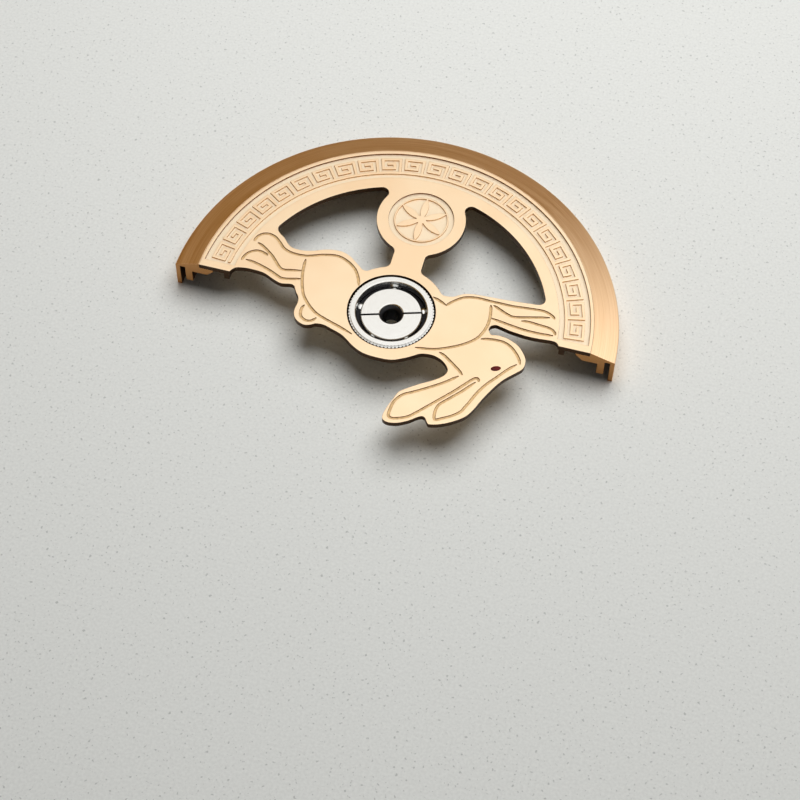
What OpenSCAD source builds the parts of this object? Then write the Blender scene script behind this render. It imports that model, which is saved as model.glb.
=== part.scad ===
// Automatic watch rotor: a half-round winding weight on a five-ball bearing.
// The spin axis is Z, the weight lies toward +Y, and z = 0 is the seat of the bearing.

/* [Rotor] */
// Radius of the outer edge
rotor_r = 13.35; // [12.55:0.05:14.5]
// Height from the foot of the skirt to the top of the plate
rotor_h = 2.45; // [2.3:0.05:3]
// Height of the plate's top above the seat of the bearing
hub_h = 1.65; // [1.55:0.05:1.9]
// How far the two straight ends lie in front of the spin axis
end_y = 0.22; // [0.1:0.02:0.4]

/* [Plate] */
// Thickness of the plate
plate_t = 0.38; // [0.34:0.01:0.5]
// Width of the land between the sunk band and the bevel
land_w = 0.2; // [0.1:0.05:0.4]
// Width of the sunk band
band_w = 1.83; // [1.5:0.05:2]
// Depth of the sunk band
band_d = 0.13; // [0.08:0.01:0.18]
// How far the sunk band stops short of the straight ends
band_end = 0.48; // [0.3:0.02:0.8]
// Width of the land between the sunk band and the windows
inner_land_w = 0.72; // [0.5:0.02:0.9]
// Width of the plate left round the bearing
hub_wall = 0.6; // [0.4:0.05:0.8]
// Width of the spoke between the hub and the boss
spoke_w = 1.88; // [1.4:0.02:2.4]
// Radius of the round boss
boss_r = 2.68; // [2.3:0.02:2.8]
// How far the boss runs into the inner land
boss_sink = 0.5; // [0.2:0.01:0.7]
// Radius that rounds the corners of the windows
window_fillet = 0.4; // [0.1:0.05:0.5]
// Radial thickness of the rib under the plate
rib_t = 0.34; // [0.2:0.02:0.4]
// Height of the rib under the plate
rib_h = 0.48; // [0.2:0.02:0.6]

/* [Engraving] */
// Width of an engraved line
line_w = 0.16; // [0.1:0.01:0.18]
// Depth of an engraved line
line_d = 0.09; // [0.04:0.01:0.1]
// Height of the raised ornament
relief_h = 0.1; // [0.05:0.01:0.12]
// Height across the key border in the sunk band
key_h = 1.2; // [1:0.05:1.3]
// Number of keys in the border
keys = 23; // [18:1:24]
// Radius of the sunk dish in the boss
dish_r = 1.97; // [1.7:0.01:2.1]
// Radius of the six-petal rosette
rosette_r = 1.6; // [1.3:0.02:1.65]
// Width of the circle round the petals
rosette_line_w = 0.1; // [0.06:0.01:0.16]
// Radius of the button in the middle of the rosette
button_r = 0.3; // [0.2:0.02:0.5]
// Length of the eye inlay
eye_l = 0.58; // [0.4:0.02:0.7]
// Width of the eye inlay
eye_w = 0.32; // [0.2:0.02:0.4]
// Depth of the eye inlay
eye_d = 0.2; // [0.1:0.02:0.3]

/* [Rim weight] */
// Width of the bevel round the rim
bevel_w = 1.5; // [1.3:0.05:1.6]
// Drop of the bevel at the outer edge
bevel_drop = 0.52; // [0.4:0.02:0.56]
// Thickness of the outer skirt
skirt_t = 0.28; // [0.24:0.01:0.4]
// Width of the groove between the skirt and the inner leg
groove_w = 0.3; // [0.2:0.02:0.35]
// Thickness of metal over that groove
groove_roof = 0.65; // [0.65:0.05:0.9]
// Thickness of the inner leg
leg_t = 0.44; // [0.3:0.02:0.5]
// How far the inner leg stops above the foot of the skirt
leg_lift = 0.55; // [0.4:0.05:0.8]
// Width of the shelf under the edge of the plate
shelf_w = 0.85; // [0.6:0.05:1]
// Thickness of the shelf
shelf_t = 0.57; // [0.4:0.02:0.7]
// Chamfer on the inner corner of the shelf
shelf_chamfer = 0.42; // [0.1:0.02:0.44]

/* [Bearing] */
// Radius of a ball
ball_r = 0.3; // [0.28:0.01:0.31]
// Number of balls
ball_count = 5; // [5]
// How far the ball centres lie outside the edge of the inner race
ball_out = 0.15; // [0.13:0.01:0.16]
// How far the ball centres lie below the plate's top
ball_drop = 0.8; // [0.78:0.01:0.82]
// Turn of the first ball from +X, in degrees
ball_turn = 28; // [0:1:71]
// Gap between a ball and its races
race_gap = 0.01; // [0.005:0.005:0.015]
// Gap between a ball and its pocket in the retainer
pocket_gap = 0.02; // [0.01:0.01:0.03]
// Gap between the retainer and the rings beside it
retainer_gap = 0.02; // [0.01:0.01:0.03]
// Floor of the retainer under the balls
retainer_floor = 0.2; // [0.1:0.02:0.22]
// Height of the retainer's fingers above the ball centres
finger_h = 0.22; // [0.1:0.02:0.24]
// Width of the gap between the inner race and the lips of the outer ring
gap_w = 0.3; // [0.28:0.01:0.32]
// Width of the outer ring, from its lips to the knurl
ring_w = 0.5; // [0.46:0.01:0.56]
// How far the shoulder under the plate stands out of the knurl
shoulder_w = 0.25; // [0.2:0.01:0.35]
// Thickness of that shoulder
shoulder_t = 0.25; // [0.2:0.01:0.28]
// How far the outer ring reaches below the ball centres
ring_below = 0.6; // [0.56:0.01:0.64]
// Width of the raised inner part of the ring's top
step_w = 0.32; // [0.22:0.01:0.38]
// Height of that raised part
step_h = 0.04; // [0.02:0.01:0.06]
// Chamfer round the upper lip
lip_chamfer = 0.04; // [0.02:0.01:0.1]
// How far the knurled flange lies below the plate's top
flange_drop = 0.08; // [0.02:0.01:0.1]
// Number of notches in the knurl
notches = 72; // [60:1:80]
// Depth of a notch
notch_d = 0.05; // [0.03:0.01:0.06]

/* [Hub] */
// Radius of the bore for the rotor screw
bore_r = 0.5; // [0.45:0.01:0.52]
// Wall of the threaded sleeve round the bore
sleeve_t = 0.18; // [0.15:0.01:0.25]
// Countersink at the top of the bore
countersink = 0.12; // [0.05:0.01:0.14]
// Radius of the two inner race cones at their wide ends
race_r = 1.8; // [1.7:0.01:1.9]
// How far the edge of the seat lies inside the inner race
seat_inset = 0.35; // [0.25:0.05:0.6]
// Height of the inner race below the ball centres, down to the seat's foot
race_below = 0.65; // [0.6:0.01:0.7]
// How far the slotted nut lies below the plate's top
nut_sink = 0.25; // [0.1:0.01:0.3]
// Width of the screwdriver slot
slot_w = 0.12; // [0.08:0.01:0.3]
// Depth of the screwdriver slot
slot_d = 0.15; // [0.1:0.01:0.18]
// Turn of the slot from +X, in degrees
slot_turn = 17.5; // [0:0.5:180]
// Chamfer on the edges of the slotted nut
nut_chamfer = 0.05; // [0.02:0.01:0.08]

/* [Drive gear] */
// Module of the teeth
gear_module = 0.08; // [0.076:0.001:0.082]
// Thickness of the gear
gear_t = 0.33; // [0.25:0.01:0.34]
// Wall of the sleeve that the gear is pressed on
gear_sleeve_t = 0.18; // [0.16:0.01:0.2]
// Wall of the gear between that sleeve and the roots of its teeth
gear_wall = 0.14; // [0.12:0.01:0.16]

/* [Hidden] */
$fn = 180;

// How far a cut runs past the face it opens
over = 0.5;
// Steps of a curve from one of its points to the next
curve_steps = 3;
outline_steps = 4;
ellipse_points = 32;

// Sizes of the bearing that follow its inner race and the plate's top
ball_path_r = race_r + ball_out;
ball_z = hub_h - ball_drop;
lip_r = race_r + gap_w;
ring_r = lip_r + ring_w;
step_r = lip_r + step_w;
shoulder_r = ring_r + shoulder_w;
ring_lift = ball_z - ring_below;
seat_r = race_r - seat_inset;
foot_h = ball_z - race_below;
sleeve_r = bore_r + sleeve_t;
nut_top = hub_h - nut_sink;
slot_z = nut_top - slot_d;
// Depth of a tooth below the pitch circle, in modules, and the number of teeth that fits the sleeve
root_share = 1.25;
gear_seat_r = lip_r + gear_sleeve_t;
teeth = round(2 * (gear_seat_r + gear_wall) / gear_module + 2 * root_share);

plate_r = rotor_r - bevel_w;
band_r = plate_r - land_w;
band_inner_r = band_r - band_w;
window_r = band_inner_r - inner_land_w;
// The radius where the figure leaves the rim, which sets the figure's size
step_out_share = 0.25;
figure_r = band_inner_r + inner_land_w * step_out_share;
hub_r = ring_r + hub_wall;
boss_y = window_r + boss_sink - boss_r;
plate_z = hub_h - plate_t;
foot_z = hub_h - rotor_h;

gold = "#F3D3A2";
rim_gold = "#C4945A";
steel = "#D9DADC";
dark_steel = "#4A4A4E";
brass = "#C9A45A";
garnet = "#7A1018";

// Points of the figure's outline, as shares of figure_r, along its lower side from left to right:
// hind feet, tail, hub, ears, head and front legs. Its two ends lie on the line of the straight ends
end_share = 0.995;
lower_shares = [
    [-0.985, 0.04], [-0.97, 0.057], [-0.945, 0.066], [-0.9, 0.072], [-0.86, 0.072], [-0.815, 0.069],
    [-0.78, 0.06], [-0.74, 0.041], [-0.705, 0.027], [-0.68, 0.021], [-0.655, 0.024], [-0.63, 0.03],
    [-0.611, 0.03], [-0.597, 0.022], [-0.588, 0.006], [-0.572, -0.02], [-0.555, -0.042],
    [-0.547, -0.065], [-0.545, -0.09], [-0.549, -0.13], [-0.545, -0.163], [-0.531, -0.191],
    [-0.507, -0.211], [-0.48, -0.222], [-0.455, -0.223], [-0.43, -0.215], [-0.412, -0.203],
    [-0.392, -0.196], [-0.365, -0.194], [-0.34, -0.198], [-0.3, -0.211], [-0.26, -0.224],
    [-0.23, -0.237], [-0.2, -0.257], [-0.148, -0.294], [-0.081, -0.323], [0.003, -0.331],
    [0.086, -0.325], [0.15, -0.297], [0.2, -0.266], [0.231, -0.244], [0.267, -0.233],
    [0.317, -0.232], [0.365, -0.249], [0.402, -0.28], [0.419, -0.315], [0.402, -0.355],
    [0.352, -0.398], [0.286, -0.441], [0.218, -0.492], [0.183, -0.526], [0.165, -0.577],
    [0.148, -0.63], [0.136, -0.695], [0.145, -0.724], [0.18, -0.735], [0.235, -0.723],
    [0.29, -0.692], [0.327, -0.661], [0.353, -0.646], [0.373, -0.652], [0.39, -0.676],
    [0.408, -0.687], [0.468, -0.669], [0.535, -0.631], [0.592, -0.583], [0.625, -0.526],
    [0.652, -0.457], [0.682, -0.392], [0.717, -0.325], [0.754, -0.273], [0.799, -0.225],
    [0.831, -0.187], [0.838, -0.15], [0.83, -0.112], [0.803, -0.071], [0.768, -0.036],
    [0.735, -0.019], [0.7, -0.006], [0.66, 0.001], [0.63, 0], [0.605, -0.005], [0.589, 0.008],
    [0.579, 0.03], [0.585, 0.052], [0.602, 0.065], [0.62, 0.068], [0.66, 0.06], [0.71, 0.049],
    [0.8, 0.04], [0.87, 0.041], [0.93, 0.046], [0.965, 0.046], [0.981, 0.04], [0.99, 0.031]
];
// The figure's back, from the right end to the left
back_shares = [
    [1.02, 0.3], [0.93, 0.283], [0.87, 0.277], [0.798, 0.27], [0.709, 0.262], [0.642, 0.257],
    [0.575, 0.253], [0.51, 0.25], [0.45, 0.247], [0.413, 0.241], [0.379, 0.231], [0.35, 0.213],
    [0.325, 0.197], [0.29, 0.19], [0.2, 0.18], [0, 0.15], [-0.18, 0.2], [-0.24, 0.24],
    [-0.262, 0.26], [-0.296, 0.286], [-0.326, 0.31], [-0.359, 0.327], [-0.39, 0.336],
    [-0.421, 0.337], [-0.46, 0.333], [-0.502, 0.321], [-0.545, 0.303], [-0.582, 0.291],
    [-0.615, 0.284], [-0.648, 0.282], [-0.678, 0.285], [-0.706, 0.296], [-0.732, 0.321],
    [-0.755, 0.345], [-0.785, 0.366], [-0.815, 0.395], [-0.9, 0.45], [-1.01, 0.3]
];
// A line across the plate that runs inside the figure all the way, as a share of figure_r
middle_share = 0.15;

// Engraved lines, as shares of figure_r
line_shares = [
    // Rump, thigh and the top of the upper hind foot
    [[-0.232, 0.125], [-0.245, 0.165], [-0.262, 0.2], [-0.284, 0.232], [-0.32, 0.263],
        [-0.36, 0.285], [-0.4, 0.297], [-0.44, 0.296], [-0.5, 0.282], [-0.54, 0.266], [-0.59, 0.25],
        [-0.64, 0.246], [-0.68, 0.249], [-0.712, 0.258], [-0.738, 0.272], [-0.762, 0.296],
        [-0.784, 0.317], [-0.81, 0.336], [-0.845, 0.346], [-0.88, 0.338], [-0.903, 0.318],
        [-0.915, 0.295], [-0.919, 0.272]],
    // Back of the thigh and belly
    [[-0.586, 0.226], [-0.583, 0.18], [-0.577, 0.13], [-0.566, 0.08], [-0.55, 0.03], [-0.529, -0.02],
        [-0.498, -0.062], [-0.457, -0.102], [-0.412, -0.133], [-0.345, -0.158], [-0.27, -0.182],
        [-0.18, -0.214]],
    // Sole of the upper hind foot, then the lower hind foot
    [[-0.895, 0.268], [-0.862, 0.253], [-0.822, 0.226], [-0.784, 0.196], [-0.754, 0.165],
        [-0.728, 0.137], [-0.708, 0.122], [-0.685, 0.119], [-0.65, 0.126], [-0.579, 0.141]],
    [[-0.81, 0.192], [-0.83, 0.202], [-0.857, 0.21], [-0.885, 0.209], [-0.912, 0.195],
        [-0.934, 0.172], [-0.946, 0.145], [-0.951, 0.12]],
    [[-0.928, 0.131], [-0.88, 0.125], [-0.83, 0.112], [-0.78, 0.096], [-0.735, 0.077],
        [-0.7, 0.061], [-0.68, 0.057], [-0.65, 0.061], [-0.62, 0.069], [-0.567, 0.084]],
    // Tail
    [[-0.502, -0.09], [-0.511, -0.12], [-0.508, -0.155], [-0.492, -0.18], [-0.46, -0.193],
        [-0.43, -0.185], [-0.41, -0.158]],
    // Shoulder, and the top of the upper front leg
    [[0.21, 0.164], [0.25, 0.149], [0.302, 0.124]],
    [[0.299, 0.124], [0.316, 0.146], [0.345, 0.176], [0.385, 0.206], [0.435, 0.221], [0.487, 0.225],
        [0.54, 0.223], [0.6, 0.223], [0.68, 0.223], [0.75, 0.23], [0.82, 0.236], [0.862, 0.237],
        [0.895, 0.227], [0.92, 0.213], [0.934, 0.199]],
    // Front of the shoulder and chest
    [[0.551, 0.198], [0.558, 0.165], [0.565, 0.12], [0.566, 0.06], [0.552, 0], [0.523, -0.057],
        [0.46, -0.113], [0.388, -0.155], [0.32, -0.185], [0.26, -0.199], [0.197, -0.206]],
    // Forehead, then head and far ear
    [[0.55, -0.049], [0.59, -0.039], [0.64, -0.034], [0.685, -0.036], [0.728, -0.055],
        [0.765, -0.088], [0.795, -0.126], [0.81, -0.16]],
    [[0.792, -0.165], [0.748, -0.216], [0.7, -0.283], [0.655, -0.343], [0.617, -0.414],
        [0.592, -0.48], [0.572, -0.528], [0.557, -0.561], [0.515, -0.6], [0.465, -0.631],
        [0.428, -0.648], [0.417, -0.6], [0.426, -0.55], [0.456, -0.512], [0.5, -0.462],
        [0.545, -0.409], [0.592, -0.344]],
    // The slit between the ears, and the near ear
    [[0.609, -0.338], [0.603, -0.323], [0.59, -0.317], [0.57, -0.333], [0.54, -0.37],
        [0.49, -0.434], [0.44, -0.491], [0.38, -0.559], [0.32, -0.627], [0.28, -0.667],
        [0.235, -0.691], [0.19, -0.703], [0.168, -0.69], [0.167, -0.645], [0.174, -0.597],
        [0.191, -0.562], [0.218, -0.531], [0.27, -0.499], [0.33, -0.459], [0.4, -0.409],
        [0.45, -0.367], [0.488, -0.33]],
    // Neck
    [[0.34, -0.2], [0.38, -0.219], [0.44, -0.262], [0.48, -0.292], [0.507, -0.318]],
    // Upper and lower front legs
    [[0.566, 0.2], [0.6, 0.185], [0.643, 0.165], [0.685, 0.151], [0.72, 0.154], [0.78, 0.169],
        [0.84, 0.185], [0.905, 0.202]],
    [[0.748, 0.135], [0.79, 0.14], [0.85, 0.135], [0.905, 0.131], [0.933, 0.123], [0.952, 0.108],
        [0.962, 0.09]],
    [[0.566, 0.109], [0.64, 0.097], [0.71, 0.086], [0.78, 0.078], [0.85, 0.076], [0.9, 0.078],
        [0.95, 0.083]]
];
eye_shares = [0.682, -0.224];
eye_turn = 24;

// One key of the border, in cells across and up, and the cells that it takes along the border
key_cell_shares = [
    [0, 0.5], [0, 7], [7, 7], [7, 2], [2, 2], [2, 5], [5, 5], [5, 4], [3, 4], [3, 3], [6, 3],
    [6, 6], [1, 6], [1, 0.5]
];
key_cells = 7;
key_pitch_cells = 8;
// Angle between two petals of the rosette
petal_a = 60;
// Points over which an engraved line narrows to its end
taper_points = 3;

// Point t of the way from b to c on a smooth curve through a, b, c and d
function curve_point(a, b, c, d, t) =
    (2 * b + (c - a) * t + (2 * a - 5 * b + 4 * c - d) * t * t
    + (3 * b - a - 3 * c + d) * t * t * t) / 2;

// A smooth curve through the points p, with n steps between two points
function smooth(p, n) = [
    for (i = [0 : len(p) - 2])
        for (j = [0 : n - 1])
            curve_point(p[max(i - 1, 0)], p[i], p[i + 1], p[min(i + 2, len(p) - 1)], j / n),
    p[len(p) - 1]
];

// The unit vector to the left of the path p at its point i
function left_of(p, i) =
    let (d = p[min(i + 1, len(p) - 1)] - p[max(i - 1, 0)])
    [-d[1], d[0]] / norm(d);

// Share of a stroke's width at point i of n, which narrows to its two ends
function taper_share(i, n) = min(1, (i + 1) / taper_points, (n - i) / taper_points);

// The outline of a line of width w along the path p
function stroke(p, w) = let (n = len(p)) concat(
    [for (i = [0 : n - 1]) p[i] + left_of(p, i) * w / 2 * taper_share(i, n)],
    [for (i = [n - 1 : -1 : 0]) p[i] - left_of(p, i) * w / 2 * taper_share(i, n)]
);

function polar(r, a) = [r * cos(a), r * sin(a)];

function ellipse(l, w) = [
    for (i = [0 : ellipse_points - 1])
        let (a = 360 * i / ellipse_points)
        [l / 2 * cos(a), w / 2 * sin(a)]
];

// Moves its children to the centre of ball i
module at_ball(i) {
    rotate(ball_turn + 360 * i / ball_count)
        translate([ball_path_r, 0, ball_z])
            children();
}

// Everything in front of the line y, as wide as the rotor
module in_front_of(y) {
    translate([-rotor_r - over, y])
        square([2 * (rotor_r + over), rotor_r + over]);
}

module ring_outline(outer, inner) {
    difference() {
        circle(outer);
        circle(inner);
    }
}

module figure_outline() {
    left_end = [-figure_r * end_share, end_y];
    right_end = [figure_r * end_share, end_y];
    lower = concat([left_end], figure_r * lower_shares, [right_end]);
    polygon(concat(
        [left_end - [land_w, 0]],
        smooth(lower, outline_steps),
        [right_end + [land_w, 0]],
        smooth(figure_r * back_shares, outline_steps)
    ));
}

module window_outlines() {
    offset(r = window_fillet)
        offset(delta = -window_fillet)
            difference() {
                intersection() {
                    circle(window_r);
                    in_front_of(figure_r * middle_share);
                }
                figure_outline();
                circle(hub_r);
                translate([0, boss_y])
                    circle(boss_r);
                translate([-spoke_w / 2, 0])
                    square([spoke_w, boss_y]);
            }
}

module plate_outline() {
    difference() {
        union() {
            intersection() {
                ring_outline(plate_r, figure_r);
                in_front_of(end_y);
            }
            intersection() {
                circle(figure_r + land_w);
                in_front_of(figure_r * middle_share);
            }
            figure_outline();
            circle(hub_r);
        }
        window_outlines();
        circle(ring_r);
    }
}

module band_outline() {
    intersection() {
        ring_outline(band_r, band_inner_r);
        in_front_of(end_y + band_end);
    }
}

// The key border: a base line and square hooks that stand on it
module border_outline() {
    inner = band_inner_r + (band_w - key_h) / 2;
    cell = key_h / key_cells;
    // The angle that the border may take, and what is left at each end
    start = asin((end_y + band_end + cell) / inner);
    span = 180 - 2 * start;
    cell_a = span / (keys * key_pitch_cells - (key_pitch_cells - key_cells));
    intersection() {
        ring_outline(inner + cell, inner);
        in_front_of(end_y + band_end + cell);
    }
    for (k = [0 : keys - 1])
        polygon([
            for (p = key_cell_shares)
                polar(inner + p[1] * cell, start + (k * key_pitch_cells + p[0]) * cell_a)
        ]);
}

// Six petals drawn with a compass: each is the lens that two neighbouring arcs share
module rosette_outline() {
    for (a = [petal_a / 2 : petal_a : 360])
        intersection() {
            translate(polar(rosette_r, a))
                circle(rosette_r);
            translate(polar(rosette_r, a + 2 * petal_a))
                circle(rosette_r);
        }
    circle(button_r);
    ring_outline(rosette_r + rosette_line_w / 2, rosette_r - rosette_line_w / 2);
}

module eye_outline() {
    translate(figure_r * eye_shares)
        rotate(eye_turn)
            polygon(ellipse(eye_l, eye_w));
}

// A cut of the depth d into the top of the plate
module cut_top(d) {
    translate([0, 0, hub_h - d])
        linear_extrude(d + over)
            children();
}

module rotor_plate() {
    color(gold) {
        difference() {
            translate([0, 0, plate_z])
                linear_extrude(plate_t)
                    plate_outline();
            cut_top(band_d)
                band_outline();
            cut_top(band_d)
                translate([0, boss_y])
                    circle(dish_r);
            for (line = line_shares)
                cut_top(line_d)
                    polygon(stroke(figure_r * smooth(line, curve_steps), line_w));
            cut_top(eye_d)
                eye_outline();
        }
        translate([0, 0, hub_h - band_d - relief_h])
            linear_extrude(2 * relief_h) {
                border_outline();
                translate([0, boss_y])
                    rosette_outline();
            }
        translate([0, 0, plate_z - rib_h])
            linear_extrude(rib_h + plate_t / 2)
                intersection() {
                    ring_outline(figure_r + rib_t, figure_r);
                    in_front_of(end_y);
                }
    }
}

// The weight's section: bevel, skirt, groove, leg and the shelf that carries the plate
module rim_weight() {
    skirt_inner = rotor_r - skirt_t;
    leg_outer = skirt_inner - groove_w;
    leg_inner = leg_outer - leg_t;
    shelf_inner = plate_r - shelf_w;
    shelf_z = plate_z - shelf_t;
    color(rim_gold)
        intersection() {
            rotate_extrude()
                polygon([
                    [plate_r, hub_h], [rotor_r, hub_h - bevel_drop], [rotor_r, foot_z],
                    [skirt_inner, foot_z], [skirt_inner, hub_h - groove_roof],
                    [leg_outer, hub_h - groove_roof], [leg_outer, foot_z + leg_lift],
                    [leg_inner, foot_z + leg_lift], [leg_inner, shelf_z],
                    [shelf_inner + shelf_chamfer, shelf_z], [shelf_inner, shelf_z + shelf_chamfer],
                    [shelf_inner, plate_z], [plate_r, plate_z]
                ]);
            translate([0, 0, foot_z - over])
                linear_extrude(rotor_h + 2 * over)
                    in_front_of(end_y);
        }
}

// How far the point of a race's V lies from the ball centre
vee = (ball_r + race_gap) * sqrt(2);
outer_vee_r = ball_path_r + vee;
inner_vee_r = ball_path_r - vee;

module bearing_outer_ring() {
    lip_rise = outer_vee_r - lip_r;
    color(steel)
        difference() {
            rotate_extrude()
                polygon([
                    [lip_r, ring_lift], [gear_seat_r, ring_lift], [gear_seat_r, ring_lift + gear_t],
                    [ring_r, ring_lift + gear_t], [ring_r, plate_z - shoulder_t],
                    [shoulder_r, plate_z - shoulder_t], [shoulder_r, plate_z], [ring_r, plate_z],
                    [ring_r, hub_h - flange_drop], [step_r, hub_h - flange_drop], [step_r, hub_h + step_h],
                    [lip_r + lip_chamfer, hub_h + step_h], [lip_r, hub_h + step_h - lip_chamfer],
                    [lip_r, ball_z + lip_rise], [outer_vee_r, ball_z], [lip_r, ball_z - lip_rise]
                ]);
            translate([0, 0, plate_z])
                linear_extrude(plate_t + over)
                    for (i = [0 : notches - 1])
                        rotate(360 * i / notches)
                            polygon([[ring_r - notch_d, 0], [ring_r + notch_d, -notch_d], [ring_r + notch_d, notch_d]]);
        }
}

// Straight-sided teeth, from the root circle to the tip circle
module drive_gear() {
    pitch_r = gear_module * teeth / 2;
    tip_r = pitch_r + gear_module;
    root_r = pitch_r - root_share * gear_module;
    tooth_a = 360 / teeth;
    root_a_share = 0.36;
    tip_a_share = 0.13;
    color(brass)
        translate([0, 0, ring_lift])
            linear_extrude(gear_t)
                difference() {
                    polygon([
                        for (i = [0 : teeth - 1])
                            each [
                                polar(root_r, tooth_a * (i - root_a_share)),
                                polar(tip_r, tooth_a * (i - tip_a_share)),
                                polar(tip_r, tooth_a * (i + tip_a_share)),
                                polar(root_r, tooth_a * (i + root_a_share))
                            ]
                    ]);
                    circle(gear_seat_r);
                }
}

// The lower half of the inner race, with the seat, the bore and the sleeve for the nut
module race_core() {
    color(steel)
        rotate_extrude()
            polygon([
                [bore_r, 0], [seat_r, 0], [seat_r, foot_h], [race_r, foot_h],
                [race_r, ball_z - race_r + inner_vee_r], [inner_vee_r, ball_z],
                [sleeve_r, ball_z], [sleeve_r, slot_z], [bore_r + countersink, slot_z],
                [bore_r, slot_z - countersink]
            ]);
}

// The upper half of the inner race: a slotted ring nut that closes the bearing
module race_nut() {
    color(steel)
        difference() {
            rotate_extrude()
                polygon([
                    [sleeve_r, ball_z], [inner_vee_r, ball_z], [race_r, ball_z + race_r - inner_vee_r],
                    [race_r, nut_top - nut_chamfer], [race_r - nut_chamfer, nut_top],
                    [sleeve_r + nut_chamfer, nut_top], [sleeve_r, nut_top - nut_chamfer]
                ]);
            rotate(slot_turn)
                translate([-race_r - over, -slot_w / 2, slot_z])
                    cube([2 * (race_r + over), slot_w, slot_d + over]);
        }
}

// A crown cage: a ring under the balls, with fingers that rise between them
module ball_retainer() {
    pocket_r = ball_r + pocket_gap;
    color(dark_steel)
        difference() {
            translate([0, 0, ball_z - pocket_r - retainer_floor])
                linear_extrude(pocket_r + retainer_floor + finger_h)
                    ring_outline(lip_r - retainer_gap, race_r + retainer_gap);
            for (i = [0 : ball_count - 1])
                at_ball(i)
                    sphere(pocket_r);
        }
}

module ball(i) {
    color(steel)
        at_ball(i)
            sphere(ball_r);
}

module eye_inlay() {
    color(garnet)
        translate([0, 0, hub_h - eye_d])
            linear_extrude(eye_d)
                eye_outline();
}

rotor_plate();
rim_weight();
bearing_outer_ring();
drive_gear();
race_core();
race_nut();
ball_retainer();
ball(0);  // ball_1
ball(1);  // ball_2
ball(2);  // ball_3
ball(3);  // ball_4
ball(4);  // ball_5
eye_inlay();
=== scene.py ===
import math

import bmesh
import bpy
from bpy.props import FloatProperty, FloatVectorProperty, IntProperty, PointerProperty
from mathutils import Matrix, Vector


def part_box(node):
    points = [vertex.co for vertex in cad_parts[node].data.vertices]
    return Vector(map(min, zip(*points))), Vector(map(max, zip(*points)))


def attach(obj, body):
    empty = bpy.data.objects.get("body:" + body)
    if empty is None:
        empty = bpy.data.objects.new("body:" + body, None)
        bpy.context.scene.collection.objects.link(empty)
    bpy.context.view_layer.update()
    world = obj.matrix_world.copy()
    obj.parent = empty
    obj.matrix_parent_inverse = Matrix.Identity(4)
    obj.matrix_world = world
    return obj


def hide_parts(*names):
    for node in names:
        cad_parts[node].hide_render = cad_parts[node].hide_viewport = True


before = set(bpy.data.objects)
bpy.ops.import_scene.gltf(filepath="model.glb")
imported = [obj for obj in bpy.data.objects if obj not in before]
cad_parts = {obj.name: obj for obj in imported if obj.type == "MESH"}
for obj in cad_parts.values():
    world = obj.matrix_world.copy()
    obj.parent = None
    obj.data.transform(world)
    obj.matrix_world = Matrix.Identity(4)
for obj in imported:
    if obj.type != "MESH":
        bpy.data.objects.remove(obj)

bl_info = {
    "name": "Watch rotor",
    "version": (1, 0, 0),
    "blender": (4, 5, 0),
    "location": "3D View > Sidebar > Watch rotor",
    "description": "Dresses the winding rotor of an automatic watch: plate, rim weight and ball bearing",
    "category": "Add Mesh",
}

# The frame is in metres, and the sizes below are written in millimetres
MM = 0.001
# Two points closer than this are the same point
SAME = 2e-7
# Faces that meet at more than this angle have a real edge between them
EDGE_ANGLE = math.radians(25)
# Faces that meet at less than this angle are one flat face
FLAT_ANGLE = math.radians(0.4)
# Faces that meet at less than this angle are shaded as one curved surface
SMOOTH_ANGLE = math.radians(18)
# A face whose normal rises more than this is level
LEVEL = 0.99999
# A face whose normal rises more than this is a floor, and one that rises less is a wall
FLOOR_RISE = 0.9
# The facets of the CAD mesh leave an arc by no more than this
FACET_SAG = 0.012 * MM
FULL_TURN = 2 * math.pi
# Facets round the inner race, its nut and the retainer, and round the rim
TURNED_STEPS = 160
RIM_STEPS = 200
# How far the rim is turned past a half circle at each end before it is cut, in radians
RIM_SPARE = 0.1
# The sockets of a Mix node that take and give colours
MIX_FIRST, MIX_SECOND, MIX_RESULT = 6, 7, 2
# Where the soft box hangs and where the bright side of the room lies, from the middle of the
# picture: to the right, away from the camera, and up
LAMP_PLACE = Vector((0.15, 0.42, 1.0))
WINDOW_PLACE = Vector((0.35, -0.15, 0.92))

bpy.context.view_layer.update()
PLATE_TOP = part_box("rotor_plate")[1].z
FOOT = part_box("rim_weight")[0].z
STRAIGHT_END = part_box("rim_weight")[0].y


def linear(hex_colour):
    """An sRGB hex colour as linear RGB."""
    parts = [int(hex_colour[i:i + 2], 16) / 255 for i in (1, 3, 5)]
    return [p / 12.92 if p <= 0.04045 else ((p + 0.055) / 1.055) ** 2.4 for p in parts]


def length(name, description, default_mm):
    return FloatProperty(name=name, description=description, default=default_mm * MM,
                         min=0, unit="LENGTH", precision=6)


def colour(name, description, hex_colour):
    return FloatVectorProperty(name=name, description=description, default=linear(hex_colour),
                               min=0, max=1, size=3, subtype="COLOR")


def amount(name, description, default):
    return FloatProperty(name=name, description=description, default=default,
                         min=0, max=1, subtype="FACTOR")


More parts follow.
